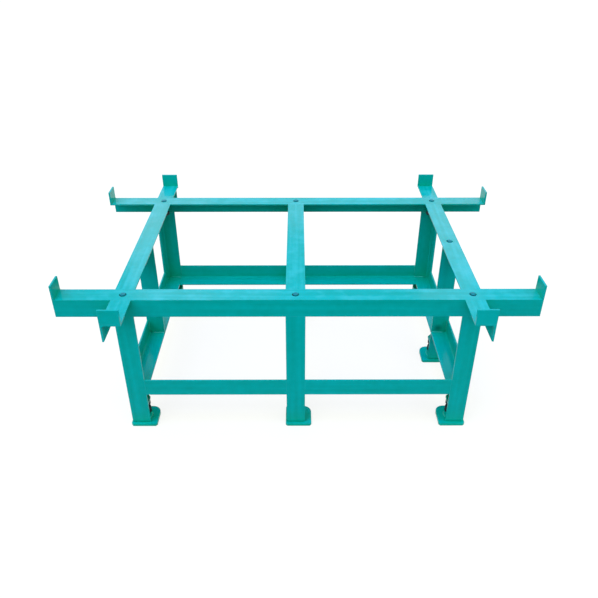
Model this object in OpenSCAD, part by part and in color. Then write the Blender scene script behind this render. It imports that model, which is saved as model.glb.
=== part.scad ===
// Stand for a granite or cast iron surface plate: a welded frame of angle steel
// with eight upstanding stops, seven levelling feet and seven support screws.
// X runs along the long rails, Y towards the rear, Z up from the floor.
// Lengths are in millimetres.

/* [Surface plate] */
// Length of the surface plate that the stand carries
plate_length = 1500; // [1200:10:2400]
// Depth of that surface plate, front to rear
plate_depth = 1000; // [900:10:1500]
// Gap left between the surface plate and each stop
plate_gap = 6; // [2:1:15]

/* [Frame] */
// Height of the rail tops above the floor
frame_height = 525; // [400:5:900]
// Reach of the long rails beyond the outer faces of the side rails
rail_overhang = 175; // [80:1:300]
// Length of the arms that reach out from the long rails
arm_length = 123.5; // [70:0.5:200]
// How far the middle rail's centre line lies to the right of the frame's middle
middle_offset = -8; // [-60:1:60]
// How far the side legs' middle lies behind the frame's middle
side_leg_offset = -4; // [-40:1:6]
// Room between the foot screws' tops and the stretchers' undersides
stretcher_room = 5; // [1:1:80]

/* [Angle steel] */
// Width of each flange of the angle
flange_width = 63; // [60:1:75]
// Thickness of the flanges
flange_wall = 6; // [5:0.5:8]
// Radius of the inside corner between the flanges
root_radius = 7; // [4:0.5:9]
// Radius of the inner edge of each flange tip
toe_radius = 2; // [0.5:0.5:3]
// Room left beside a root radius where another piece is fitted over it
root_room = 1; // [0.5:0.5:3]

/* [Stops] */
// Rise of the stops above the rail tops
stop_rise = 50; // [20:5:80]
// Thickness of the stops
stop_wall = 6; // [4:0.5:10]
// How far the long stop keeps its full width below its rail top
long_stop_drop = 10; // [6:1:30]
// How much narrower the long stop is below that
long_stop_step = 9; // [2:1:20]

/* [Foot plates] */
// Side of the square foot plates
foot_size = 90; // [76:1:120]
// Cut across the foot plates' corners
foot_corner = 6; // [2:1:15]
// Radius of the free corner, away from the leg
foot_free_radius = 30; // [5:1:36]
// Thickness of the foot plates
foot_wall = 10; // [6:1:16]
// Outer diameter of the socket ring on a foot plate
socket_dia = 40; // [32:1:50]
// Height of the socket ring
socket_height = 17; // [8:1:24]
// Room between a leg's end and the foot plate below it
leg_gap = 3; // [2:1:30]

/* [Foot screws] */
// Thread diameter of the foot screws
foot_thread = 24; // [20:1:27]
// Diameter of the foot screws' pivot in its socket
pivot_dia = 20; // [14:1:24]
// Height of the pivot's neck between socket and hexagon
neck_height = 3; // [1:0.5:10]
// Width across flats of the foot screws' hexagon and nut
foot_flats = 36; // [32:1:41]
// Height of the foot screws' hexagon
foot_hex_height = 22; // [14:1:30]
// Height of the nut that is welded in each leg
foot_nut_height = 22; // [14:1:30]
// Length of thread that shows between hexagon and nut
thread_shown = 12; // [4:1:20]
// How far a foot can be screwed out
foot_travel = 30; // [10:1:60]
// Thread that stays above the bracket with the foot screwed out
thread_spare = 10; // [4:1:30]
// From a leg's side flange to the foot screw's axis
foot_side_room = 35; // [28:1:36]
// From a leg's front or rear flange to the foot screw's axis
foot_face_room = 29; // [26:1:34]
// Cut on the end of each thread
thread_chamfer = 2; // [0.5:0.5:3]

/* [Foot brackets] */
// Thickness of the brackets that carry the foot nuts
bracket_wall = 6; // [4:1:10]
// Material left around the bracket's hole
bracket_rim = 8; // [5:1:9]
// Cut across the bracket's free corner
bracket_corner = 14; // [4:1:20]

/* [Support screws] */
// Thread diameter of the support screws
support_thread = 20; // [16:1:22]
// How far the screw tips stand above the rail tops at rest
support_proud = 3; // [1:0.5:8]
// How far a support screw can be screwed up
support_travel = 15; // [5:1:20]
// Gap that is left between head and lock nut with the screw fully up
head_gap = 0.5; // [0.3:0.1:2]
// Width across flats of the support screws' heads and nuts
support_flats = 30; // [26:1:32]
// Height of the nut that is welded under the rail
support_nut_height = 16; // [10:1:18]
// Height of the lock nut below it
lock_nut_height = 10; // [6:1:12]
// Height of the support screws' heads
support_head_height = 12.5; // [8:0.5:14]

/* [Clearances] */
// Radial running gap of threads in nuts and of pivots in sockets
running_gap = 0.05; // [0.02:0.01:0.1]
// End gap below a pivot in its socket
pivot_gap = 0.1; // [0.05:0.05:0.5]
// Radial gap of a screw in a plain drilled hole
hole_gap = 1; // [0.5:0.1:2]

/* [Hidden] */
$fn = 64;
teal = "#0B9593";
black = "#23292C";
left = -1;
right = 1;
front = -1;
rear = 1;
// Extra length of cutting shapes
cut = 1;
// Slope of the corner chamfers on hexagons
hex_slope = tan(30);

rail_end = plate_length / 2 + plate_gap;
arm_end = plate_depth / 2 + plate_gap;
half_width = rail_end - rail_overhang;
half_depth = arm_end - arm_length;
rail_inside = frame_height - flange_wall;
middle_face = middle_offset - flange_width / 2;
middle_edge = middle_offset + flange_width / 2;
side_leg_face = side_leg_offset - flange_width / 2;
leg_bottom = foot_wall + leg_gap;
seat_chamfer = root_radius + root_room;

socket_top = foot_wall + socket_height;
hex_bottom = socket_top + neck_height;
thread_bottom = hex_bottom + foot_hex_height;
foot_nut_bottom = thread_bottom + thread_shown;
bracket_bottom = foot_nut_bottom + foot_nut_height;
bracket_top = bracket_bottom + bracket_wall;
foot_screw_top = bracket_top + foot_travel + thread_spare;
stretcher_height = foot_screw_top + stretcher_room;
stretcher_inside = stretcher_height + flange_wall;
foot_side_inset = flange_wall + foot_side_room;
foot_face_inset = flange_wall + foot_face_room;

support_tip = frame_height + support_proud;
support_nut_bottom = rail_inside - support_nut_height;
lock_nut_bottom = support_nut_bottom - lock_nut_height;
head_top = lock_nut_bottom - support_travel - head_gap;
head_bottom = head_top - support_head_height;

// Places of the feet
function corner_foot(side, end) =
    [side * (half_width - foot_side_inset), end * (half_depth - foot_face_inset)];
function middle_foot(end) =
    [middle_face + foot_side_inset, end * (half_depth - foot_face_inset)];
side_foot = [half_width - foot_side_inset, side_leg_face + foot_face_inset];
feet = [
    corner_foot(left, front), middle_foot(front), corner_foot(right, front),
    corner_foot(left, rear), middle_foot(rear), corner_foot(right, rear),
    side_foot
];

// Places of the support screws, on the centre lines of the flanges
function corner_support(side, end) =
    [side * (half_width - flange_width / 2), end * (half_depth - flange_width / 2)];
function middle_support(end) =
    [middle_offset, end * (half_depth - flange_width / 2)];
side_support = [half_width - flange_width / 2, 0];
supports = [
    corner_support(left, front), middle_support(front), corner_support(right, front),
    corner_support(left, rear), middle_support(rear), corner_support(right, rear),
    side_support
];

// Section of the angle: outer corner at the origin, flanges along +X and +Y
module angle_section() {
    tip = flange_width - toe_radius;
    edge = flange_wall - toe_radius;
    difference() {
        union() {
            square([flange_width, flange_wall]);
            square([flange_wall, flange_width]);
            translate([flange_wall, flange_wall])
                difference() {
                    square(root_radius);
                    translate([root_radius, root_radius]) circle(root_radius);
                }
        }
        translate([tip, edge]) corner_cut(toe_radius);
        translate([edge, tip]) corner_cut(toe_radius);
    }
}

// What is taken off a corner to round it, with the round's centre at the origin
module corner_cut(radius) {
    difference() {
        square(radius + cut);
        circle(radius);
    }
}

// Mirrors its children so that local +X and +Y point along dir, then moves them
module turned(at, dir) {
    translate(at)
        mirror([min(dir.x, 0), 0, 0])
            mirror([0, min(dir.y, 0), 0])
                children();
}

// Angle along X from from_x to to_x, with its corner line at [y, z]
module bar_x(from_x, to_x, corner, dir) {
    translate([from_x, 0, 0])
        rotate([90, 0, 90])
            linear_extrude(to_x - from_x)
                turned(corner, dir) angle_section();
}

// Angle along Y from from_y to to_y, with its corner line at [x, z]
module bar_y(from_y, to_y, corner, dir) {
    translate([0, to_y, 0])
        rotate([90, 0, 0])
            linear_extrude(to_y - from_y)
                turned(corner, dir) angle_section();
}

// Upright angle from bottom to top, standing in its own local corner
module upright(bottom, top) {
    translate([0, 0, bottom]) linear_extrude(top - bottom) angle_section();
}

// Side view of what is cut from a leg's end so that it fits inside another angle:
// across from the outer face, and up from the inside of the flange it meets
module seat_outline() {
    polygon([
        [-cut, -cut], [flange_wall + seat_chamfer, -cut], [flange_wall + seat_chamfer, 0],
        [flange_wall, seat_chamfer], [flange_wall, flange_width - flange_wall],
        [-cut, flange_width - flange_wall]
    ]);
}

// Round holes for the support screws
module support_holes() {
    for (at = supports)
        translate([at.x, at.y, rail_inside - cut])
            cylinder(d = support_thread + 2 * hole_gap, h = flange_wall + 2 * cut);
}

// Long rail, out to the outer faces of the stops that stand on its ends
module long_rail(end) {
    reach = rail_end + stop_wall;
    difference() {
        bar_x(-reach, reach, [end * half_depth, frame_height], [-end, -1]);
        support_holes();
    }
}

module side_rail(side) {
    inner = half_depth - flange_width;
    difference() {
        bar_y(-inner, inner, [side * half_width, frame_height], [-side, -1]);
        support_holes();
    }
}

// Arm with room on its end for a stop that is seat thick
module arm(side, end, seat) {
    reach = [end * half_depth, end * (arm_end + seat)];
    bar_y(min(reach), max(reach), [side * half_width, frame_height], [-side, -1]);
}

// Stop that stands on the end of a long rail
module rail_stop(side, end) {
    turned([side * rail_end, end * half_depth, frame_height], [side, -end])
        cube([stop_wall, flange_width, stop_rise]);
}

// Stop that stands on the end of an arm
module arm_stop(side, end) {
    turned([side * half_width, end * arm_end, frame_height], [-side, end])
        cube([flange_width, stop_wall, stop_rise]);
}

// Stop that covers the whole end of its arm, narrower from just below the rail top
module long_arm_stop(side, end) {
    turned([side * half_width, end * arm_end, frame_height], [-side, end])
        union() {
            translate([0, 0, -long_stop_drop])
                cube([flange_width, stop_wall, long_stop_drop + stop_rise]);
            translate([0, 0, -flange_width])
                cube([flange_width - long_stop_step, stop_wall, flange_width]);
        }
}

// Leg under a long rail: one flange ends below the rail's own upright flange,
// the other runs up inside the rail
module rail_leg(at, dir) {
    turned(at, dir)
        difference() {
            upright(leg_bottom, rail_inside);
            translate([-cut, 0, rail_inside])
                rotate([90, 0, 90])
                    mirror([0, 1])
                        linear_extrude(flange_width + 2 * cut) seat_outline();
        }
}

// Leg between a side rail and the stretcher below it, fitted inside both
module side_leg(side) {
    turned([side * half_width, side_leg_face], [-side, 1])
        difference() {
            upright(stretcher_inside, rail_inside);
            for (seat = [[rail_inside, -1], [stretcher_inside, 1]])
                translate([0, flange_width + cut, seat[0]])
                    rotate([90, 0, 0])
                        linear_extrude(flange_width + 2 * cut)
                            mirror([0, min(seat[1], 0)]) seat_outline();
        }
}

// Stretcher along a long side of the frame
module long_stretcher(from_x, to_x, end) {
    bar_x(from_x, to_x, [end * half_depth, stretcher_height], [-end, 1]);
}

// Stretcher along a side of the frame; only its shelf runs on into the legs' corners
module side_stretcher(side) {
    reach = half_depth - flange_wall;
    difference() {
        bar_y(-reach, reach, [side * half_width, stretcher_height], [-side, 1]);
        for (end = [front, rear])
            turned([side * half_width, end * half_depth, stretcher_height], [-side, -end])
                stretcher_end_cut();
    }
}

// What is cut from a side stretcher's end: all above its shelf, and on the shelf the
// leg's side flange and the inside corner of the leg
module stretcher_end_cut() {
    seat = flange_wall + seat_chamfer;
    translate([-cut, -cut, flange_wall])
        cube([flange_width + 2 * cut, flange_width + cut, flange_width]);
    translate([0, 0, -cut])
        linear_extrude(flange_width)
            polygon([
                [-cut, -cut], [seat, -cut], [seat, flange_wall], [flange_wall, seat],
                [flange_wall, flange_width], [-cut, flange_width]
            ]);
}

// Hexagon with its corners chamfered at both ends
module hexagon(flats, height) {
    corner = flats / 2 / cos(30);
    ring = flats / 2;
    slope = (corner - ring) * hex_slope;
    intersection() {
        cylinder(r = corner, h = height, $fn = 6);
        rotate_extrude()
            polygon([
                [0, 0], [ring, 0], [corner, slope],
                [corner, height - slope], [ring, height], [0, height]
            ]);
    }
}

module nut(flats, height, thread) {
    difference() {
        hexagon(flats, height);
        translate([0, 0, -cut])
            cylinder(d = thread + 2 * running_gap, h = height + 2 * cut);
    }
}

// Threaded shank with a chamfered upper end
module shank(thread, bottom, top) {
    translate([0, 0, bottom])
        cylinder(d = thread, h = top - thread_chamfer - bottom);
    translate([0, 0, top - thread_chamfer])
        cylinder(d1 = thread, d2 = thread - 2 * thread_chamfer, h = thread_chamfer);
}

// Bracket in a leg's corner at the origin, with its hole over the foot
module foot_bracket() {
    hole = [foot_side_inset, foot_face_inset];
    reach = (foot_thread / 2 + hole_gap + bracket_rim) * [1, 1] + hole;
    translate([0, 0, bracket_bottom])
        difference() {
            linear_extrude(bracket_wall)
                polygon([
                    [flange_wall + seat_chamfer, flange_wall], [reach.x, flange_wall],
                    [reach.x, reach.y - bracket_corner], [reach.x - bracket_corner, reach.y],
                    [flange_wall, reach.y], [flange_wall, flange_wall + seat_chamfer]
                ]);
            translate([hole.x, hole.y, -cut])
                cylinder(d = foot_thread + 2 * hole_gap, h = bracket_wall + 2 * cut);
        }
}

// Foot plate with the socket ring that holds the screw's pivot; dir points to its
// free corner, which is rounded
module foot(at, dir) {
    half = foot_size / 2;
    side = half - foot_corner;
    free = half - foot_free_radius;
    color(teal)
        turned(at, dir)
            difference() {
                union() {
                    linear_extrude(foot_wall)
                        difference() {
                            polygon([
                                [-side, -half], [side, -half], [half, -side], [half, half],
                                [-side, half], [-half, side], [-half, -side]
                            ]);
                            translate([free, free]) corner_cut(foot_free_radius);
                        }
                    cylinder(d = socket_dia, h = socket_top);
                }
                translate([0, 0, foot_wall])
                    cylinder(d = pivot_dia + 2 * running_gap, h = socket_height + cut);
            }
}

module foot_screw(at) {
    color(black)
        translate(at) {
            translate([0, 0, foot_wall + pivot_gap])
                cylinder(d = pivot_dia, h = hex_bottom - foot_wall - pivot_gap);
            translate([0, 0, hex_bottom]) hexagon(foot_flats, foot_hex_height);
            shank(foot_thread, thread_bottom, foot_screw_top);
        }
}

module support_screw(at) {
    color(black)
        translate(at) {
            translate([0, 0, head_bottom]) hexagon(support_flats, support_head_height);
            shank(support_thread, head_top, support_tip);
        }
}

module front_top_rail() { color(teal) long_rail(front); }
module rear_top_rail() { color(teal) long_rail(rear); }
module left_side_rail() { color(teal) side_rail(left); }
module right_side_rail() { color(teal) side_rail(right); }

module middle_cross_rail() {
    inner = half_depth - flange_width;
    color(teal) bar_y(-inner, inner, [middle_face, frame_height], [1, -1]);
}

module front_left_arm() { color(teal) arm(left, front, stop_wall); }
module front_right_arm() { color(teal) arm(right, front, stop_wall); }
module rear_left_arm() { color(teal) arm(left, rear, 0); }
module rear_right_arm() { color(teal) arm(right, rear, stop_wall); }

module front_rail_left_stop() { color(teal) rail_stop(left, front); }
module front_rail_right_stop() { color(teal) rail_stop(right, front); }
module rear_rail_left_stop() { color(teal) rail_stop(left, rear); }
module rear_rail_right_stop() { color(teal) rail_stop(right, rear); }

module front_left_arm_stop() { color(teal) arm_stop(left, front); }
module front_right_arm_stop() { color(teal) arm_stop(right, front); }
module rear_left_arm_stop() { color(teal) long_arm_stop(left, rear); }
module rear_right_arm_stop() { color(teal) arm_stop(right, rear); }

module front_left_leg() { color(teal) rail_leg([-half_width, -half_depth], [1, 1]); }
module front_middle_leg() { color(teal) rail_leg([middle_face, -half_depth], [1, 1]); }
module front_right_leg() { color(teal) rail_leg([half_width, -half_depth], [-1, 1]); }
module rear_left_leg() { color(teal) rail_leg([-half_width, half_depth], [1, -1]); }
module rear_middle_leg() { color(teal) rail_leg([middle_face, half_depth], [1, -1]); }
module rear_right_leg() { color(teal) rail_leg([half_width, half_depth], [-1, -1]); }
module left_middle_leg() { color(teal) side_leg(left); }
module right_middle_leg() { color(teal) side_leg(right); }

// The right middle leg goes on below its stretcher, down to a foot
module right_middle_leg_end() {
    color(teal)
        turned([half_width, side_leg_face], [-1, 1]) upright(leg_bottom, stretcher_height);
}

module front_left_stretcher() {
    color(teal) long_stretcher(flange_width - half_width, middle_face, front);
}

module front_right_stretcher() {
    color(teal) long_stretcher(middle_edge, half_width - flange_width, front);
}

module rear_left_stretcher() {
    color(teal) long_stretcher(flange_width - half_width, middle_face, rear);
}

module rear_right_stretcher() {
    color(teal) long_stretcher(middle_edge, half_width - flange_width, rear);
}

module left_side_stretcher() { color(teal) side_stretcher(left); }
module right_side_stretcher() { color(teal) side_stretcher(right); }

// One bracket in each leg that has a foot
module foot_brackets() {
    color(teal) {
        for (side = [left, right], end = [front, rear])
            turned([side * half_width, end * half_depth], [-side, -end]) foot_bracket();
        for (end = [front, rear])
            turned([middle_face, end * half_depth], [1, -end]) foot_bracket();
        turned([half_width, side_leg_face], [-1, 1]) foot_bracket();
    }
}

module foot_nuts() {
    color(black)
        for (at = feet)
            translate([at.x, at.y, foot_nut_bottom]) nut(foot_flats, foot_nut_height, foot_thread);
}

module support_nuts() {
    color(black)
        for (at = supports)
            translate([at.x, at.y, support_nut_bottom])
                nut(support_flats, support_nut_height, support_thread);
}

module support_lock_nuts() {
    color(black)
        for (at = supports)
            translate([at.x, at.y, lock_nut_bottom])
                nut(support_flats, lock_nut_height, support_thread);
}

module front_left_foot() { foot(corner_foot(left, front), [1, 1]); }
module front_middle_foot() { foot(middle_foot(front), [1, 1]); }
module front_right_foot() { foot(corner_foot(right, front), [-1, 1]); }
module rear_left_foot() { foot(corner_foot(left, rear), [1, -1]); }
module rear_middle_foot() { foot(middle_foot(rear), [1, -1]); }
module rear_right_foot() { foot(corner_foot(right, rear), [-1, -1]); }
module right_middle_foot() { foot(side_foot, [-1, 1]); }

module front_left_foot_screw() { foot_screw(corner_foot(left, front)); }
module front_middle_foot_screw() { foot_screw(middle_foot(front)); }
module front_right_foot_screw() { foot_screw(corner_foot(right, front)); }
module rear_left_foot_screw() { foot_screw(corner_foot(left, rear)); }
module rear_middle_foot_screw() { foot_screw(middle_foot(rear)); }
module rear_right_foot_screw() { foot_screw(corner_foot(right, rear)); }
module right_middle_foot_screw() { foot_screw(side_foot); }

module front_left_support_screw() { support_screw(corner_support(left, front)); }
module front_middle_support_screw() { support_screw(middle_support(front)); }
module front_right_support_screw() { support_screw(corner_support(right, front)); }
module rear_left_support_screw() { support_screw(corner_support(left, rear)); }
module rear_middle_support_screw() { support_screw(middle_support(rear)); }
module rear_right_support_screw() { support_screw(corner_support(right, rear)); }
module right_middle_support_screw() { support_screw(side_support); }

front_top_rail();
rear_top_rail();
left_side_rail();
right_side_rail();
middle_cross_rail();
front_left_arm();
front_right_arm();
rear_left_arm();
rear_right_arm();
front_rail_left_stop();
front_rail_right_stop();
rear_rail_left_stop();
rear_rail_right_stop();
front_left_arm_stop();
front_right_arm_stop();
rear_left_arm_stop();
rear_right_arm_stop();
front_left_leg();
front_middle_leg();
front_right_leg();
rear_left_leg();
rear_middle_leg();
rear_right_leg();
left_middle_leg();
right_middle_leg();
right_middle_leg_end();
front_left_stretcher();
front_right_stretcher();
rear_left_stretcher();
rear_right_stretcher();
left_side_stretcher();
right_side_stretcher();
foot_brackets();
foot_nuts();
support_nuts();
support_lock_nuts();
front_left_foot();
front_middle_foot();
front_right_foot();
rear_left_foot();
rear_middle_foot();
rear_right_foot();
right_middle_foot();
front_left_foot_screw();
front_middle_foot_screw();
front_right_foot_screw();
rear_left_foot_screw();
rear_middle_foot_screw();
rear_right_foot_screw();
right_middle_foot_screw();
front_left_support_screw();
front_middle_support_screw();
front_right_support_screw();
rear_left_support_screw();
rear_middle_support_screw();
rear_right_support_screw();
right_middle_support_screw();
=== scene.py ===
import math

import bmesh
import bpy
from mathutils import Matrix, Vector


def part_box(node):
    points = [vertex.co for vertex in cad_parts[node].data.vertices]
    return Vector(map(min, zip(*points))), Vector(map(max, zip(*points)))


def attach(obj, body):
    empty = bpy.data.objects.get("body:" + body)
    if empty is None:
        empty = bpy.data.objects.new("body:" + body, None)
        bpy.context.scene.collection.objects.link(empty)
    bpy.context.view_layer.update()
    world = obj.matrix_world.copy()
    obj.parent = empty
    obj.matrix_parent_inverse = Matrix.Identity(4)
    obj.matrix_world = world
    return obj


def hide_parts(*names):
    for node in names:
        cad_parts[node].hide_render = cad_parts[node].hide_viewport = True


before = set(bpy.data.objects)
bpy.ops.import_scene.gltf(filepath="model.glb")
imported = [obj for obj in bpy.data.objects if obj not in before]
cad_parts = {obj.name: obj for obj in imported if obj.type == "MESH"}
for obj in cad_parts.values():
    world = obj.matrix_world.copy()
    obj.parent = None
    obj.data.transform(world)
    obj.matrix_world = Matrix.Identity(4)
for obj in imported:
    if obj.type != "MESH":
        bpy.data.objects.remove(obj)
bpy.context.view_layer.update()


# The view: the stand's long side seen from standing height, a little under two metres
# from its front rail, through a lens whose axis meets the picture above its middle.
def add_object(name, data):
    """A new object in the scene, at the origin."""
    made = bpy.data.objects.new(name, data)
    bpy.context.scene.collection.objects.link(made)
    return made


picture_px = 598
focal_px = 619.6
axis_px = 273.5
sensor_mm = 36.0
look_down = math.radians(31.24)
look_right = math.radians(0.14)
eye = (-0.0009, -1.9796, 1.5897)
lens = bpy.data.cameras.new("view")
lens.sensor_width = sensor_mm
lens.lens = sensor_mm * focal_px / picture_px
lens.shift_y = (axis_px - picture_px / 2) / picture_px
view = add_object("view", lens)
view.location = eye
view.rotation_euler = (math.pi / 2 - look_down, 0, -look_right)
bpy.context.scene.camera = view


# The frame: hot-rolled angle steel, sawn to length, welded and sprayed with a glossy
# teal enamel. Rolling leaves faint lines along each bar, which the enamel follows. Inside
# corners are painted greener, as painted bounce light in their shade; edges are painted
# paler, partly thin paint and partly a painted highlight; the rails' tops have paler
# patches, partly scuffs and partly a painted sheen.
class Signal:
    """A socket in a node tree. Sums written in Python add their Math nodes."""

    def __init__(self, tree, socket=None):
        self.tree = tree
        self.socket = socket

    def node(self, kind, settings, sockets, output=0):
        """Adds a node: its settings first, then the values or links of its sockets."""
        made = self.tree.nodes.new(kind)
        for name, value in settings.items():
            if name == "stops":
                low, high = made.color_ramp.elements
                low.position, low.color = value[0]
                high.position, high.color = value[-1]
                for place, colour in value[1:-1]:
                    made.color_ramp.elements.new(place).color = colour
            else:
                setattr(made, name, value)
        for name, value in sockets.items():
            if isinstance(value, Signal):
                self.tree.links.new(value.socket, made.inputs[name])
            else:
                made.inputs[name].default_value = value
        return Signal(self.tree, made.outputs[output]) if made.outputs else None

    def maths(self, operation, first, second):
        return self.node("ShaderNodeMath", {"operation": operation}, {0: first, 1: second})

    def __add__(self, other):
        return self.maths("ADD", self, other)

    __radd__ = __add__

    def __sub__(self, other):
        return self.maths("SUBTRACT", self, other)

    def __rsub__(self, other):
        return self.maths("SUBTRACT", other, self)

    def __mul__(self, other):
        return self.maths("MULTIPLY", self, other)

    __rmul__ = __mul__

    def __truediv__(self, other):
        return self.maths("DIVIDE", self, other)

    def __rtruediv__(self, other):
        return self.maths("DIVIDE", other, self)

    def __gt__(self, other):
        return self.maths("GREATER_THAN", self, other)

    def __lt__(self, other):
        return self.maths("LESS_THAN", self, other)

    def clamped(self):
        return self.node("ShaderNodeClamp", {}, {"Value": self})

    def noise(self, place, scale, detail):
        return self.node(
            "ShaderNodeTexNoise", {}, {"Vector": place, "Scale": scale, "Detail": detail}
        )

    def mixed(self, factor, first, second):
        return self.node(
            "ShaderNodeMix", {"data_type": "RGBA"}, {0: factor, 6: first, 7: second}, 2
        )


def paint(red, green, blue):
    """A colour read from a screen, 0 to 255, as the linear values that Blender takes."""
    return (*((part / 255) ** 2.2 for part in (red, green, blue)), 1.0)


def new_material(name):
    """A new material, its tree as a Signal, and its Principled shader."""
    material = bpy.data.materials.new(name)
    material.use_nodes = True
    shader = material.node_tree.nodes["Principled BSDF"]
    return material, Signal(material.node_tree), shader


def feed(shader, **sockets):
    """Links signals to the shader's sockets, named with _ for each space."""
    for name, signal in sockets.items():
        signal.tree.links.new(signal.socket, shader.inputs[name.replace("_", " ")])


def set_gloss(shader, tint, level):
    shader.inputs["Specular Tint"].default_value = tint
    shader.inputs["Specular IOR Level"].default_value = level


def edge_mask(base, bevel):
    """1 on a piece's sharp edges, fading to 0 on its faces."""
    face = base.node("ShaderNodeNewGeometry", {}, {}, "Normal")
    facing = base.node(
        "ShaderNodeVectorMath", {"operation": "DOT_PRODUCT"}, {0: bevel, 1: face}, 1
    )
    return ((1 - facing) * 5.0).clamped()


enamel_tones = [(0.3, paint(1, 146, 132)), (0.5, paint(2, 157, 148)), (0.7, paint(3, 168, 165))]
# Painted bounce light: the greener colour laid into shaded inside corners.
painted_corner_bounce_colour = paint(1, 166, 124)
# The colour of the dark spot painted on the right middle leg.
dark_spot_colour = paint(1, 84, 74)
# The paler colour of the patches on the rails' tops: partly scuffs, partly a painted sheen.
scuff_and_sheen_enamel = paint(60, 176, 176)
# The paler colour on sharp edges: partly thin paint, partly a painted highlight.
thin_paint_highlight_colour = paint(70, 190, 196)
cloud_scale = 3.2
mottle_scale = 46.0
patch_scale = 17.0
peel_scale = 420.0
corner_reach = 0.095
edge_radius = 0.0012
spot_fade = 55.0
scuff_and_sheen_start = 0.47
rail_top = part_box("front_top_rail")[1].z
top_room = 0.001


def enamel(name, grain, smudge=None):
    """Teal enamel with faint lines along the axis that grain squeezes least, and paler
    patches on the rails' tops, partly scuffs and partly a painted sheen. Inside corners get
    painted bounce light and edges a painted highlight. A smudge is a dark spot painted
    round the point given."""
    material, base, shader = new_material(name)
    place = base.node("ShaderNodeTexCoord", {}, {}, "Object")
    along = base.node("ShaderNodeMapping", {}, {"Vector": place, "Scale": grain})
    lines = base.noise(along, 1.0, 4.0)
    clouds = base.noise(place, cloud_scale, 3.0)
    mottle = base.noise(place, mottle_scale, 3.0)
    tone = lines * 0.4 + clouds * 0.36 + mottle * 0.24
    colour = base.node("ShaderNodeValToRGB", {"stops": enamel_tones}, {"Fac": tone})
    # Painted bounce light and shade: where ambient occlusion finds nearby parts, the colour turns
    # towards the greener corner colour.
    openness = base.node(
        "ShaderNodeAmbientOcclusion", {"samples": 6}, {"Distance": corner_reach}, "AO"
    )
    painted_corner_bounce = ((1 - openness) * 1.3 - 0.1).clamped() * 0.92
    colour = base.mixed(painted_corner_bounce, colour, painted_corner_bounce_colour)
    # A dark spot painted round the given point, fading outwards.
    if smudge:
        away = base.node(
            "ShaderNodeVectorMath", {"operation": "DISTANCE"}, {0: place, 1: smudge}, 1
        )
        spot_mask = (1 - away * spot_fade + mottle * 0.3).clamped() * 0.7
        colour = base.mixed(spot_mask, colour, dark_spot_colour)
    # Paler patches on the rails' top faces only: partly scuffs, partly a painted sheen.
    height = base.node("ShaderNodeSeparateXYZ", {}, {"Vector": place}, "Z")
    on_top = (height > rail_top - top_room) - (height > rail_top + top_room)
    patches = base.noise(place, patch_scale, 6.0) * 0.65 + lines * 0.35
    scuffs_and_sheen = ((patches - scuff_and_sheen_start) * 5.0).clamped() * on_top * 0.5
    colour = base.mixed(scuffs_and_sheen, colour, scuff_and_sheen_enamel)
    bevel = base.node("ShaderNodeBevel", {"samples": 4}, {"Radius": edge_radius})
    # Paler sharp edges, found by the bevel: partly thin paint, partly a painted highlight.
    colour = base.mixed(edge_mask(base, bevel) * 0.35, colour, thin_paint_highlight_colour)
    peel = base.noise(place, peel_scale, 2.0) * 0.35 + lines * 0.65
    bump = base.node(
        "ShaderNodeBump", {},
        {"Strength": 0.22, "Distance": 0.0006, "Height": peel, "Normal": bevel},
    )
    gloss = 0.06 + 0.1 * clouds + 0.06 * mottle
    feed(shader, Base_Color=colour, Roughness=gloss, Normal=bump)
    set_gloss(shader, (0.02, 0.5, 0.55, 1), 0.1)
    return material


def finish(node, material):
    """Gives a CAD node its material."""
    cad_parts[node].material_slots[0].material = material


sparse = 2.0
dense = 70.0
bar_enamels = [
    enamel("enamel_along_x", (sparse, dense, dense)),
    enamel("enamel_along_y", (dense, sparse, dense)),
    enamel("enamel_along_z", (dense, dense, sparse)),
]
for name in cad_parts:
    if name.endswith(("_rail", "_arm", "_leg", "_leg_end", "_stretcher")):
        low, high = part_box(name)
        size = high - low
        longest = max(range(3), key=lambda axis: size[axis])
        finish(name, bar_enamels[longest])

# The right middle leg: angle steel like the other legs, with a dark spot painted low on
# its front face and a little left of the middle.
spot_left = 0.007
spot_height = 0.019
low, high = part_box("right_middle_leg")
spot_centre = ((low.x + high.x) / 2 - spot_left, low.y, low.z + spot_height)
finish("right_middle_leg", enamel("enamel_spotted", (dense, dense, sparse), spot_centre))

# The stops, brackets and foot plates: cut from flat plate, welded on or set under the
# screws, and sprayed with the same enamel, which shows no lines on a flat cut piece.
even = (9.0, 9.0, 9.0)
plate_enamel = enamel("enamel_on_plate", even)
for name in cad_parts:
    if name.endswith(("_stop", "_foot", "_brackets")):
        finish(name, plate_enamel)

# The welds: fillets laid by hand in the inside corners, their ripples showing through
# the enamel. Seams on the upper and front faces are ground flush, so none shows there.
bead_enamel = enamel("enamel_on_welds", even)
set_gloss(bead_enamel.node_tree.nodes["Principled BSDF"], (0.5, 0.9, 1, 1), 0.9)

# The angle's wall, the room that a bead leaves at its rounded root and at its edges, and
# how deep a bead lies where the two faces that it joins are flush.
wall = 0.006
root = 0.012
edge = 0.003
sunk = 0.0018
low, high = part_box("right_side_rail")
outer, inner, tip = high.x, high.x - wall, low.x
seam, top, under, bottom = high.y, high.z, high.z - wall, low.z
face = -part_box("front_top_rail")[0].y
back = face - wall
middle_low, middle_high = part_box("middle_cross_rail")
stretcher_low, stretcher_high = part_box("front_left_stretcher")
arm_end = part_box("rear_left_arm")[1].y
leg_low, leg_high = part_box("right_middle_leg")


def upright(x, y, low, high):
    return [Vector((x, y, low)), Vector((x, y, high))]


def along_x(start, stop, y, z):
    return [Vector((start, y, z)), Vector((stop, y, z))]


def along_y(x, start, stop, z):
    return [Vector((x, start, z)), Vector((x, stop, z))]


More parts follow.
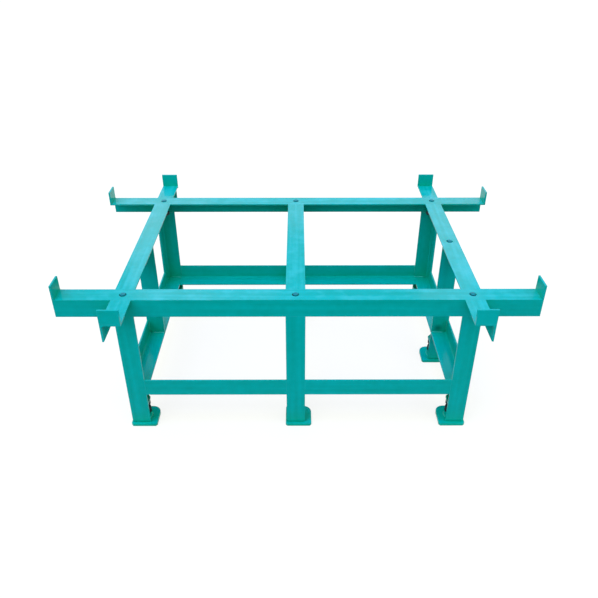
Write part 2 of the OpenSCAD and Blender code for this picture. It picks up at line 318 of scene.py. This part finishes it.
def corner_welds(side, end):
    """Where a long rail, an arm, a side rail, a corner leg and two stretchers meet."""
    out, wall_in, toe = side * outer, side * inner, side * tip
    front, front_in, shut = end * face, end * back, end * seam
    from_x, to_x = wall_in - side * root, toe + side * edge
    near, far = front_in - end * root, shut + end * edge
    shelf, brim = stretcher_low.z + wall, stretcher_high.z - edge
    past_out, past_in = out - side * sunk, wall_in + side * sunk
    return [
        upright(out, front, bottom + edge, top - edge),
        upright(wall_in, front, bottom + edge, under - root),
        along_x(from_x, to_x, front, under),
        along_x(from_x, to_x, shut, under + sunk),
        upright(past_in, shut, bottom + edge, under - root),
        upright(past_out, shut, bottom + edge, under),
        upright(wall_in, front_in, bottom + edge, under - root),
        upright(out, front_in, bottom + edge, under - root),
        along_y(wall_in, near, far, under),
        along_y(out, near, far, under),
        along_x(from_x, to_x, front_in + end * sunk, bottom),
        upright(toe, front_in + end * sunk, shelf + root, brim),
        upright(past_in, shut, shelf + root, brim),
        upright(past_out, shut, stretcher_low.z + edge, brim),
        along_x(from_x, toe, front_in, shelf),
        along_y(wall_in, near, shut, shelf),
    ]


def long_stop_welds():
    """Where the long stop closes the end of the rear left arm."""
    return [
        along_x(-inner + root, -tip - edge, arm_end, under),
        upright(-inner, arm_end, bottom + edge, under - root),
        upright(-outer, arm_end, bottom + edge, under),
    ]


def middle_welds(end):
    """Where the cross rail, a middle leg and two stretchers meet a long rail."""
    flat, flat_in = middle_low.x, middle_low.x + wall
    front_in, shut = end * back, end * seam
    from_x, to_x = flat_in + root, middle_high.x - edge
    near, far = front_in - end * root, shut + end * edge
    shelf, brim = stretcher_low.z + wall, stretcher_high.z - edge
    return [
        along_x(from_x, to_x, shut, under + sunk),
        upright(flat_in - sunk, shut, bottom + edge, under - root),
        upright(flat + sunk, shut, bottom + edge, under),
        upright(flat_in, front_in, bottom + edge, under - root),
        upright(flat, front_in, bottom + edge, under - root),
        along_y(flat_in, near, far, under),
        along_y(flat, near, far, under),
        along_x(from_x, to_x, front_in + end * sunk, bottom),
        along_y(flat, near, far, shelf),
        along_y(flat, near, far, stretcher_low.z),
        upright(flat, front_in, shelf + root, brim),
        upright(middle_high.x, front_in + end * sunk, shelf + root, brim),
    ]


def side_welds(side):
    """Where a side's middle leg stands between its rail and its stretcher."""
    wall_in, toe = side * inner, side * tip
    from_x, to_x = wall_in - side * root, toe + side * edge
    shelf, brim = stretcher_low.z + wall, stretcher_high.z
    beads = []
    for y in (leg_low.y, leg_low.y + wall):
        beads += [
            upright(wall_in, y, bottom + edge, under - root),
            upright(wall_in, y, shelf + root, brim - edge),
            along_x(from_x, to_x, y, under),
            along_x(from_x, to_x, y, shelf),
        ]
    for z in (bottom, brim):
        beads.append(along_y(wall_in + side * sunk, leg_low.y + wall + root, leg_high.y - edge, z))
    return beads


def named_inputs(tree, kinds):
    """Adds a Geometry Nodes tree's inputs and its output, and gives the inputs."""
    inputs = {}
    for name, kind in kinds.items():
        socket = tree.interface.new_socket(name, in_out="INPUT", socket_type=kind)
        inputs[name] = socket.identifier
    tree.interface.new_socket("Geometry", in_out="OUTPUT", socket_type="NodeSocketGeometry")
    given = tree.nodes.new("NodeGroupInput")
    return inputs, {name: Signal(tree, given.outputs[name]) for name in inputs}


def close_tree(shape, material):
    """Ends a Geometry Nodes tree: real faces with their material."""
    shape = shape.node("GeometryNodeRealizeInstances", {}, {"Geometry": shape})
    shape = shape.node("GeometryNodeSetMaterial", {}, {"Geometry": shape, "Material": material})
    result = shape.tree.nodes.new("NodeGroupOutput")
    shape.tree.links.new(shape.socket, result.inputs["Geometry"])


rings_per_ripple = 4


def weld_tree():
    """A rippled bead along every line of the mesh that the tree is given."""
    tree = bpy.data.node_groups.new("weld_bead", "GeometryNodeTree")
    base = Signal(tree)
    inputs, value = named_inputs(tree, {
        "Geometry": "NodeSocketGeometry",
        "Bead radius": "NodeSocketFloat",
        "Ripple length": "NodeSocketFloat",
        "Ripple height": "NodeSocketFloat",
        "Finish": "NodeSocketMaterial",
    })
    path = base.node("GeometryNodeMeshToCurve", {}, {"Mesh": value["Geometry"]})
    path = base.node(
        "GeometryNodeResampleCurve", {"mode": "LENGTH"},
        {"Curve": path, "Length": value["Ripple length"] / rings_per_ripple},
    )
    length = base.node("GeometryNodeSplineParameter", {}, {}, "Length")
    phase = length / value["Ripple length"] * (2 * math.pi)
    ripple = base.node("ShaderNodeMath", {"operation": "SINE"}, {0: phase})
    hand = base.node("ShaderNodeTexNoise", {}, {"Scale": 55.0, "Detail": 1.0})
    profile = base.node(
        "GeometryNodeCurvePrimitiveCircle", {}, {"Resolution": 8, "Radius": value["Bead radius"]}
    )
    bead = base.node("GeometryNodeCurveToMesh", {}, {
        "Curve": path,
        "Profile Curve": profile,
        "Scale": 0.8 + ripple * value["Ripple height"] + hand * 0.4,
        "Fill Caps": True,
    })
    close_tree(bead, value["Finish"])
    return tree, inputs


def grown(name, mesh, tree, inputs, values):
    """The plain mesh that a Geometry Nodes tree makes from a mesh, as a new object."""
    seed = add_object(name + "_seed", mesh)
    modifier = seed.modifiers.new("grow", "NODES")
    modifier.node_group = tree
    for key, given in values.items():
        modifier[inputs[key]] = given
    shaped = seed.evaluated_get(bpy.context.evaluated_depsgraph_get())
    made = bpy.data.meshes.new_from_object(shaped)
    seed.modifiers.remove(modifier)
    bpy.data.objects.remove(seed)
    shell = bmesh.new()
    shell.from_mesh(made)
    bmesh.ops.recalc_face_normals(shell, faces=shell.faces)
    shell.to_mesh(made)
    shell.free()
    made.shade_smooth()
    return add_object(name, made)


bead_tree, bead_inputs = weld_tree()
ripple_length = 0.0034
ripple_height = 0.07


def weld(name, beads, radius, body, material=bead_enamel):
    """Lays a bead along each list of points, to ride on a body."""
    path = bpy.data.meshes.new(name)
    points = []
    pairs = []
    for bead in beads:
        first = len(points)
        points += bead
        pairs += [(step, step + 1) for step in range(first, len(points) - 1)]
    path.from_pydata(points, pairs, [])
    piece = grown(name, path, bead_tree, bead_inputs, {
        "Bead radius": radius,
        "Ripple length": ripple_length,
        "Ripple height": ripple_height,
        "Finish": material,
    })
    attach(piece, body)


slim_bead = 0.0028
full_bead = 0.003
ends = ((-1, "front"), (1, "rear"))
for side, side_name in ((-1, "left"), (1, "right")):
    for end, end_name in ends:
        weld(f"{end_name}_{side_name}_welds", corner_welds(side, end), slim_bead, "frame")
    weld(f"{side_name}_middle_welds", side_welds(side), full_bead, "frame")
for end, end_name in ends:
    weld(f"{end_name}_middle_welds", middle_welds(end), slim_bead, "frame")
weld("long_stop_welds", long_stop_welds(), full_bead, "frame")

# The feet: a square steel plate with a socket ring welded on, in which the pivot of the
# foot screw turns. The screw comes down from a bracket in the leg's corner.
places = [name.removesuffix("_foot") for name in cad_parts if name.endswith("_foot")]


def ring(centre, radius, count=32):
    """A closed circle of points round an upright axis."""
    turn = 2 * math.pi / count
    return [
        centre + radius * Vector((math.cos(turn * step), math.sin(turn * step), 0))
        for step in range(count + 1)
    ]


def axis_of(node, z):
    """The point on a node's upright axis at a height."""
    low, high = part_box(node)
    return Vector(((low.x + high.x) / 2, (low.y + high.y) / 2, z))


socket_radius = 0.020
socket_bead = 0.0026
plate_top = 0.010
for place in places:
    foot = f"{place}_foot"
    weld(f"{place}_socket_weld", [ring(axis_of(foot, plate_top), socket_radius)], socket_bead, foot)

# The foot screws: machined from black steel, with a long thread that carries the stand,
# a hexagon that is left as forged and oiled, and a round pivot below it in the socket.
rough_oxide = paint(4, 20, 22)
dense_oxide = paint(10, 40, 42)
bare_steel = paint(96, 130, 134)
oversprayed = paint(5, 114, 118)
worn_radius = 0.0008


def black_steel():
    """Black oxide, oiled and a little patchy, rubbed to bare steel on its edges. What
    stands above the rails has been sprayed over with the frame's enamel."""
    material, base, shader = new_material("black_oxide")
    place = base.node("ShaderNodeTexCoord", {}, {}, "Object")
    height = base.node("ShaderNodeSeparateXYZ", {}, {"Vector": place}, "Z")
    patches = base.noise(place, 90.0, 4.0)
    grain = base.noise(place, 900.0, 2.0)
    bevel = base.node("ShaderNodeBevel", {"samples": 4}, {"Radius": worn_radius})
    worn = (edge_mask(base, bevel) * patches * 0.5).clamped()
    colour = base.mixed(patches, rough_oxide, dense_oxide)
    colour = base.mixed(worn, colour, bare_steel)
    colour = base.mixed(height > rail_top, colour, oversprayed)
    relief = patches * 0.6 + grain * 0.4
    bump = base.node(
        "ShaderNodeBump", {},
        {"Strength": 0.25, "Distance": 0.0003, "Height": relief, "Normal": bevel},
    )
    gloss = 0.3 + patches * 0.3
    feed(shader, Base_Color=colour, Roughness=gloss, Metallic=worn * 0.8, Normal=bump)
    set_gloss(shader, (0.3, 1.0, 1.0, 1), 0.2)
    return material


oxide = black_steel()

# A thread's depth, widths and the depth that its ridge is sunk in the core, in pitches.
thread_depth = 0.61
root_width = 0.82
crest_width = 0.12
ridge_sunk = 0.05
run_out_turns = 0.5
run_out_scale = 0.04


def thread_tree():
    """A screw's thread: one trapezoid ridge that winds up round the mesh it is given."""
    tree = bpy.data.node_groups.new("screw_thread", "GeometryNodeTree")
    base = Signal(tree)
    inputs, value = named_inputs(tree, {
        "Geometry": "NodeSocketGeometry",
        "Start": "NodeSocketVector",
        "Pitch": "NodeSocketFloat",
        "Turns": "NodeSocketFloat",
        "Core radius": "NodeSocketFloat",
        "Steel": "NodeSocketMaterial",
    })
    spiral = base.node("GeometryNodeCurveSpiral", {}, {
        "Resolution": 28,
        "Rotations": value["Turns"],
        "Start Radius": value["Core radius"],
        "End Radius": value["Core radius"],
        "Height": value["Turns"] * value["Pitch"],
        "Reverse": True,
    })
    spiral = base.node("GeometryNodeSetCurveNormal", {"mode": "Z_UP"}, {"Curve": spiral})
    ridge = base.node("GeometryNodeCurvePrimitiveQuadrilateral", {"mode": "TRAPEZOID"}, {
        "Height": value["Pitch"] * (thread_depth + ridge_sunk),
        "Bottom Width": value["Pitch"] * root_width,
        "Top Width": value["Pitch"] * crest_width,
        "Offset": 0.0,
    })
    outwards = value["Pitch"] * ((thread_depth - ridge_sunk) / 2)
    ridge = base.node("GeometryNodeTransform", {}, {
        "Geometry": ridge,
        "Translation": base.node("ShaderNodeCombineXYZ", {}, {"X": outwards}),
        "Rotation": (0, 0, -math.pi / 2),
    })
    turn = base.node("GeometryNodeSplineParameter", {}, {}, "Factor") * value["Turns"]
    run_in = (turn / run_out_turns).clamped()
    run_out = ((value["Turns"] - turn) / run_out_turns).clamped()
    thread = base.node("GeometryNodeCurveToMesh", {}, {
        "Curve": spiral,
        "Profile Curve": ridge,
        "Scale": run_out_scale + run_in * run_out * (1 - run_out_scale),
        "Fill Caps": True,
    })
    thread = base.node(
        "GeometryNodeTransform", {}, {"Geometry": thread, "Translation": value["Start"]}
    )
    joined = tree.nodes.new("GeometryNodeJoinGeometry")
    tree.links.new(thread.socket, joined.inputs[0])
    tree.links.new(value["Geometry"].socket, joined.inputs[0])
    close_tree(Signal(tree, joined.outputs[0]), value["Steel"])
    return tree, inputs


screw_tree, screw_inputs = thread_tree()
chamfer_slope = math.tan(math.radians(30))


def turned(centre, steps, count=72):
    """A closed solid of rings round an upright axis: each step is a height and a radius,
    or a height, a hexagon's width across flats and how far its corners are cut back."""
    shell = bmesh.new()
    rows = []
    for step in steps:
        row = []
        for part in range(count):
            angle = 2 * math.pi * part / count
            z, radius = step[0], step[1]
            if len(step) == 3:
                half = step[1] / 2
                radius = half / math.cos(angle % math.radians(60) - math.radians(30))
                z += step[2] * (radius - half) * chamfer_slope
            x = centre.x + radius * math.cos(angle)
            y = centre.y + radius * math.sin(angle)
            row.append(shell.verts.new((x, y, z)))
        rows.append(row)
    for below, above in zip(rows, rows[1:]):
        for part in range(count):
            after = (part + 1) % count
            shell.faces.new((below[part], below[after], above[after], above[part]))
    shell.faces.new(reversed(rows[0]))
    shell.faces.new(rows[-1])
    mesh = bpy.data.meshes.new("turned")
    shell.to_mesh(mesh)
    shell.free()
    return mesh


def hexagon(low, high, flats):
    """The steps of a hexagon whose corners are cut back at both ends."""
    return [(low, flats / 2), (low, flats, 1), (high, flats, -1), (high, flats / 2)]


# A screw's end: how high it is crowned, its flat as a share of the core, its chamfer's
# height and width, and how far below the top its thread stops.
crown = 0.0004
tip_flat = 0.6
end_chamfer = 0.002
end_round = 0.0005
thread_end = 0.0014
sharpest_smooth = math.radians(35)


def screw(node, steps, start, top, thread, pitch):
    """A turned screw with its thread, in place of a CAD node of the body of that name."""
    centre = axis_of(node, start)
    core = thread / 2 - thread_depth * pitch
    shank = [
        (start, core),
        (top - end_chamfer, core),
        (top - crown, core - end_round),
        (top, core * tip_flat),
    ]
    blank = turned(centre, steps + shank)
    piece = grown(node + "_turned", blank, screw_tree, screw_inputs, {
        "Start": centre,
        "Pitch": pitch,
        "Turns": (top - thread_end - start) / pitch - run_out_turns,
        "Core radius": core,
        "Steel": oxide,
    })
    piece.data.set_sharp_from_angle(angle=sharpest_smooth)
    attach(piece, node)
    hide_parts(node)


foot_thread = 0.024
foot_pitch = 0.003
pivot_radius = 0.010
pivot_chamfer = 0.001
hex_low = 0.030
hex_high = 0.052
for place in places:
    node = f"{place}_foot_screw"
    low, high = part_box(node)
    pivot = [
        (low.z, pivot_radius - pivot_chamfer),
        (low.z + pivot_chamfer, pivot_radius),
        (hex_low, pivot_radius),
    ]
    flats = high.y - low.y
    head = hexagon(hex_low, hex_high, flats)
    screw(node, pivot + head, hex_high, high.z, foot_thread, foot_pitch)

# The support screws: black steel like the foot screws, turned up through the rails by
# their hexagon heads until the crowned tips carry the surface plate.
support_thread = 0.020
support_pitch = 0.0025
head_height = 0.0125
for place in places:
    node = f"{place}_support_screw"
    low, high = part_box(node)
    flats = high.y - low.y
    head_top = low.z + head_height
    head = hexagon(low.z, head_top, flats)
    screw(node, head, head_top, high.z, support_thread, support_pitch)

# The nuts: black steel hexagons that the screws turn in, welded under the brackets and
# the rails after the painting, so their beads stay black. Below each support screw's nut
# a lock nut holds the height that was set.
for name in ("foot_nuts", "support_nuts", "support_lock_nuts"):
    finish(name, oxide)
nut_bead = 0.0024
foot_nut_radius = 0.0192
support_nut_radius = 0.0162
bracket_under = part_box("foot_brackets")[0].z
rail_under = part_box("support_nuts")[1].z
for kind, z, radius in (
    ("foot", bracket_under, foot_nut_radius),
    ("support", rail_under, support_nut_radius),
):
    rings = [ring(axis_of(f"{place}_{kind}_screw", z), radius) for place in places]
    weld(f"{kind}_nut_welds", rings, nut_bead, "frame", oxide)


# The floor: a plain pale sheet that runs out past the picture, on which the stand's
# shadow lies. It shows white to the camera and in the enamel's gloss.
def seen_directly(base):
    """1 for camera, glossy and transmission rays, 0 for the light that falls on things."""
    rays = [
        base.node("ShaderNodeLightPath", {}, {}, output)
        for output in ("Is Camera Ray", "Is Glossy Ray", "Is Transmission Ray")
    ]
    return (rays[0] + rays[1] + rays[2]).clamped()


white = (1, 1, 1, 1)
reach = 30.0
corners = [(-reach, -reach, 0), (reach, -reach, 0), (reach, reach, 0), (-reach, reach, 0)]
sheet = bpy.data.meshes.new("floor")
sheet.from_pydata(corners, [], [(0, 1, 2, 3)])
floor = add_object("floor", sheet)
pale = bpy.data.materials.new("pale_floor")
pale.use_nodes = True
pale.node_tree.nodes.clear()
base = Signal(pale.node_tree)
bounce = base.mixed(seen_directly(base), (0.30, 0.30, 0.29, 1), (1.0, 0.92, 0.70, 1))
matt = base.node("ShaderNodeBsdfDiffuse", {}, {"Color": bounce})
lit = base.node("ShaderNodeEmission", {}, {"Color": white, "Strength": 1.0})
soft = base.node("ShaderNodeMixShader", {}, {0: seen_directly(base) * 0.8, 1: matt, 2: lit})
base.node("ShaderNodeOutputMaterial", {}, {"Surface": soft})
sheet.materials.append(pale)

# The light: an overcast room, a broad lamp from the left and a weaker one from the
# right, a cool skylight, and softboxes behind whose reflections lie along the top.
world = bpy.data.worlds.new("room")
bpy.context.scene.world = world
world.use_nodes = True
world.node_tree.nodes.clear()
base = Signal(world.node_tree)
room = base.node("ShaderNodeBackground", {}, {"Color": (0.88, 1.0, 0.88, 1), "Strength": 0.93})
backdrop = base.node("ShaderNodeBackground", {}, {"Color": white, "Strength": 1.0})
shown = base.node("ShaderNodeMixShader", {}, {0: seen_directly(base), 1: room, 2: backdrop})
base.node("ShaderNodeOutputWorld", {}, {"Surface": shown})

for name, energy, colour, angle, direction in (
    ("key_lamp", 1.68, (0.78, 0.92, 1.38), 60, (-0.42, -0.345, 0.72)),
    ("fill_lamp", 0.5, (0.78, 0.95, 1.2), 40, (0.5, -0.35, 0.65)),
    ("skylight", 0.56, (0.15, 0.4, 2.6), 30, (0, 0, 1)),
):
    sun = bpy.data.lights.new(name, "SUN")
    sun.energy = energy
    sun.angle = math.radians(angle)
    sun.color = colour
    lamp = add_object(name, sun)
    lamp.rotation_euler = Vector(direction).to_track_quat("Z", "Y").to_euler()

back_wall = 4.0
softbox_colour = (1.0, 0.65, 0.6)
for name, left, right, low, high, glow in (
    ("left_softbox", -1.9, -0.9, 2.15, 3.7, 2.4),
    ("upper_softbox", -0.9, -0.2, 3.2, 3.7, 2.0),
    ("long_softbox", -0.9, 1.4, 2.15, 2.5, 1.4),
    ("right_softbox", 1.4, 2.1, 2.15, 3.7, 2.1),
):
    box = bpy.data.lights.new(name, "AREA")
    box.shape = "RECTANGLE"
    box.size = right - left
    box.size_y = high - low
    box.energy = glow * math.pi * box.size * box.size_y
    box.color = softbox_colour
    softbox = add_object(name, box)
    softbox.location = ((left + right) / 2, back_wall, (low + high) / 2)
    softbox.rotation_euler = (-math.pi / 2, 0, 0)

bpy.context.scene.view_settings.view_transform = "Standard"
